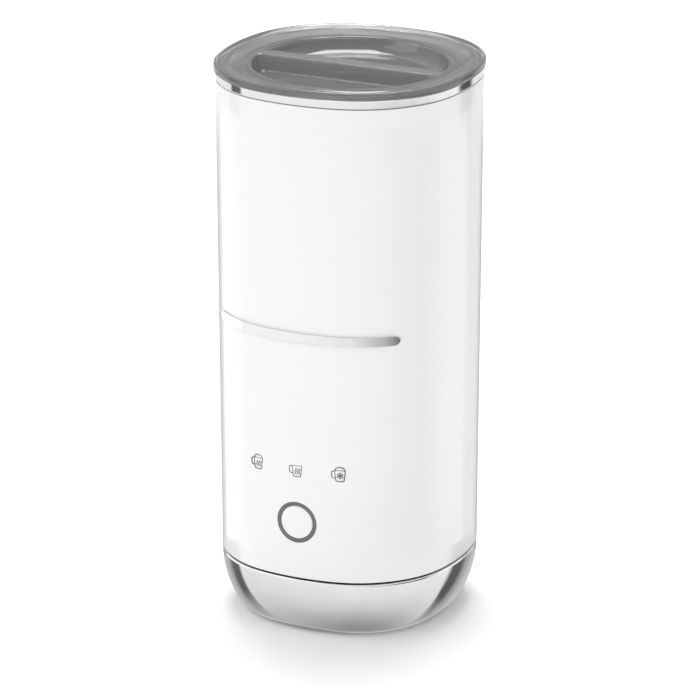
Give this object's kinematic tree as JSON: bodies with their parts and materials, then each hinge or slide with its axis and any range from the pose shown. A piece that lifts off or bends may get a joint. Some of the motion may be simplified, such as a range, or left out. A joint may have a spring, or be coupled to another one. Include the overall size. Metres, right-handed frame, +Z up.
{
  "type": "milk frother",
  "caption": "Tall soft-square milk frother: white jug with smoked lid, push button and magnetic whisk, on a polished bowl-shaped power base.",
  "frame": {"origin": "centre of the footprint, on the surface that the rubber feet stand on", "axes": "+Z up, -Y to the front (button side), +X to the right seen from the front"},
  "size_m": [0.0892, 0.0892, 0.1962],
  "materials": {
    "white_shell": "glossy white",
    "bright_chrome": "polished",
    "pot_lining": "satin stainless steel inside the pot",
    "plain_steel": "satin",
    "black_plastic": "fine grain",
    "black_rubber": "matte",
    "grey_silicone": "soft, slightly clear",
    "brass_contact": "bright",
    "zinc_screw": "zinc plated",
    "heater_metal": "cast",
    "sensor_body": "potted",
    "lead_sleeve": "silicone insulation",
    "board_green": "solder mask",
    "board_parts": "moulded cases",
    "motor_steel": "plated can",
    "ferrite": "sintered",
    "bronze_bush": "sintered bronze",
    "core_steel": "laminated",
    "carrier_plastic": "natural nylon",
    "magnet_plate": "nickel plated",
    "whisk_plastic": "food-safe plastic",
    "clear_guide": "clear moulding",
    "ring_grey": "smooth grey",
    "smoked_lid": "clear, smoked grey"
  },
  "bodies": {
    "base": {"base_bowl": "bright_chrome", "base_top_cover": "black_plastic", "base_connector": "black_plastic", "base_contact_rings": "brass_contact", "base_bottom_plate": "black_plastic", "base_feet": "black_rubber", "base_screws": "zinc_screw", "base_weight": "plain_steel", "cord_inlet": "black_rubber"},
    "coupling": {"jug_connector": "black_plastic", "jug_contact_pin": "brass_contact"},
    "jug": {"outer_sleeve": "white_shell", "rim_ring": "bright_chrome", "front_badge": "bright_chrome", "inner_pot": "pot_lining", "pot_gasket": "grey_silicone", "whisk_axle": "plain_steel", "heater_ring": "heater_metal", "temperature_sensor": "sensor_body", "thermal_fuse": "sensor_body", "heater_leads": "lead_sleeve", "chassis": "black_plastic", "jug_bottom_cover": "black_plastic", "jug_screws": "zinc_screw", "power_board": "board_green", "power_board_parts": "board_parts", "control_board": "board_green", "board_screws": "zinc_screw", "tact_switch": "board_parts", "indicator_leds": "clear_guide", "icon_light_guides": "clear_guide", "button_ring": "ring_grey", "motor_can": "motor_steel", "motor_end_cap": "black_plastic", "motor_bushes": "bronze_bush", "motor_magnets": "ferrite", "motor_screws": "zinc_screw"},
    "rotor": {"motor_shaft": "plain_steel", "motor_armature": "core_steel", "magnet_carrier": "carrier_plastic", "drive_magnets": "magnet_plate"},
    "whisk_slider": {"whisk_bush": "carrier_plastic"},
    "whisk": {"whisk_frame": "whisk_plastic", "whisk_magnets": "magnet_plate", "whisk_coil": "plain_steel"},
    "lid": {"lid_shell": "smoked_lid", "lid_gasket": "grey_silicone"},
    "button": {"push_button": "white_shell"}
  },
  "joints": [
    {"name": "jug_lift", "type": "slide", "parent": "base", "child": "coupling", "axis": [0, 0, 1], "range_m": [0, 0.06]},
    {"name": "jug_turn", "type": "hinge", "parent": "coupling", "child": "jug", "pos_m": [0, 0, 0.1], "axis": [0, 0, 1], "continuous": true},
    {"name": "motor_spin", "type": "hinge", "parent": "jug", "child": "rotor", "pos_m": [0, 0, 0.06], "axis": [0, 0, 1], "continuous": true},
    {"name": "whisk_lift", "type": "slide", "parent": "jug", "child": "whisk_slider", "axis": [0, 0, 1], "range_m": [0, 0.08]},
    {"name": "whisk_spin", "type": "hinge", "parent": "whisk_slider", "child": "whisk", "pos_m": [0, 0, 0.092], "axis": [0, 0, 1], "continuous": true},
    {"name": "lid_lift", "type": "slide", "parent": "jug", "child": "lid", "axis": [0, 0, 1], "range_m": [0, 0.05]},
    {"name": "button_press", "type": "slide", "parent": "jug", "child": "button", "axis": [0, 1, 0], "range_m": [0, 0.0008], "stiffness_N_per_m": 1000, "springref_m": -0.0005}
  ],
  "couplings": [
    {"joint": "whisk_spin", "follows": "motor_spin", "ratio": 1}
  ]
}
